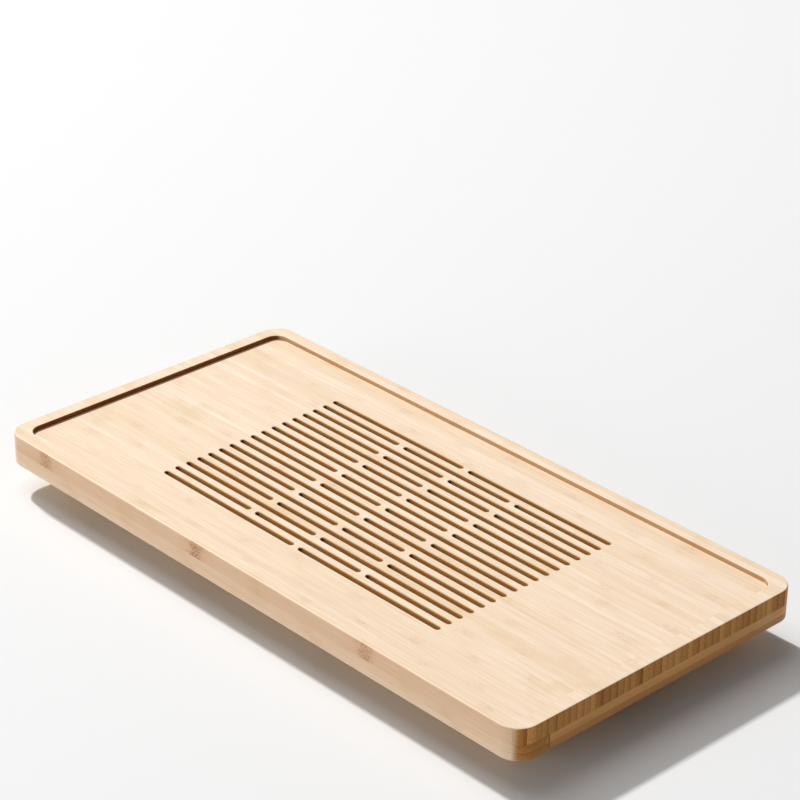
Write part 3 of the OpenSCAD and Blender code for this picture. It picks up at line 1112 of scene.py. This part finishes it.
@dataclass(frozen=True)
class Studio:
    """The plain set: a pale table in front of a pale backdrop, soft lamps and the camera.

    Attributes:
        azimuth: where the camera stands, as an angle from +X towards +Y in degrees.
        elevation: its angle above the table, in degrees.
        roll: its roll, in degrees.
        distance: its distance from the point it looks at.
        target: the point it looks at.
        lens_mm: its focal length.
        sensor_mm: width of its sensor.
        sight: how far it sees.
        table: side of the table.
        floor_colour: colour of the table and the backdrop.
        sky_colour: colour of the light that comes from all round.
        sky_strength: strength of that light.
        lamps: the lamps.
    """

    azimuth: float = 46.7214 - 90.0
    elevation: float = 27.4965
    roll: float = 0.6652
    distance: float = 1.8654
    target: tuple[float, float, float] = (-0.0962, 0.1042, 0.042)
    lens_mm: float = 123.56
    sensor_mm: float = 36.0
    sight: float = 50.0
    table: float = 6.0
    floor_colour: str = "#E6E6E6"
    sky_colour: str = "#FFFFFF"
    sky_strength: float = 0.185
    lamps: tuple[SoftBox, ...] = (
        SoftBox("key", azimuth=174.0, elevation=47.7, distance=12.0, size=0.68, power=1235.0),
        SoftBox("window", azimuth=190.0, elevation=68.0, distance=3.0, size=2.2, power=30.0),
        SoftBox("fill", azimuth=-100.0, elevation=11.0, distance=2.5, size=1.2, power=15.0),
    )

    def build(self) -> None:
        """Set up the table, the light and the camera."""
        self.lay_table()
        self.light_sky()
        for lamp in self.lamps:
            lamp.place()
        self.set_camera()
        bpy.context.scene.view_settings.view_transform = "Standard"

    def lay_table(self) -> None:
        """Lay the table's plane under the tray."""
        half = self.table / 2
        corners = [(-half, -half, 0), (half, -half, 0), (half, half, 0), (-half, half, 0)]
        mesh = bpy.data.meshes.new("table")
        mesh.from_pydata(corners, [], [(0, 1, 2, 3)])
        # Plain matt board: no pattern, so that the shadow is the only thing to see on it
        mesh.materials.append(Surface("matt_pale_board").close({
            "Base Color": linear(self.floor_colour), "Roughness": 0.8, "Specular IOR Level": 0.15}))
        add_object("table", mesh)

    def light_sky(self) -> None:
        """Light the set from all round, and show a pale backdrop wherever it is looked at."""
        world = bpy.data.worlds.new("studio")
        world.use_nodes = True
        world.node_tree.nodes.clear()
        add = partial(add_node, world.node_tree)
        rays = add("ShaderNodeLightPath").outputs
        seen = rays["Is Camera Ray"]
        for kind in ("Is Glossy Ray", "Is Transmission Ray"):
            seen = add(MATH, (seen, rays[kind]), "MAXIMUM")
        light = add("ShaderNodeBackground", (linear(self.sky_colour), self.sky_strength))
        backdrop = add("ShaderNodeBackground", (linear(self.floor_colour), 1.0))
        mixed = add("ShaderNodeMixShader", (seen, light, backdrop))
        add("ShaderNodeOutputWorld", {"Surface": mixed})
        bpy.context.scene.world = world

    def set_camera(self) -> None:
        """Put the camera where the photo was taken from."""
        camera = add_object("camera", bpy.data.cameras.new("camera"))
        aimed = looking(self.azimuth, self.elevation, self.distance, Vector(self.target))
        camera.matrix_world = aimed @ Matrix.Rotation(math.radians(self.roll), 4, "Z")
        camera.data.lens = self.lens_mm
        camera.data.sensor_width = self.sensor_mm
        camera.data.clip_end = self.sight
        bpy.context.scene.camera = camera


def main() -> None:
    """Dress the tray and set it in the studio."""
    logging.basicConfig(level=logging.INFO)
    # Spark-eroded moulds give plastic and rubber a fine grain, which breaks up their highlights
    plastic = SolidFinish("grained_polypropylene", "#2B2A2C", (0.45, 0.55), ior=1.49,
                          grain_mm=0.5, relief_mm=0.02).make()
    rubber = SolidFinish("matt_moulded_rubber", "#262626", (0.75, 0.85), ior=1.52,
                         grain_mm=0.3, relief_mm=0.015).make()
    # Zinc plating is a grey metal, and handling clouds its gloss
    steel = SolidFinish("zinc_plated_steel", "#C4C6C8", (0.22, 0.42), metallic=1.0, cloud_mm=1.5).make()
    Deck().build()
    Base().build(steel, rubber)
    DripDrawer().build(steel, plastic)
    Studio().build()


if __name__ == "__main__":
    main()
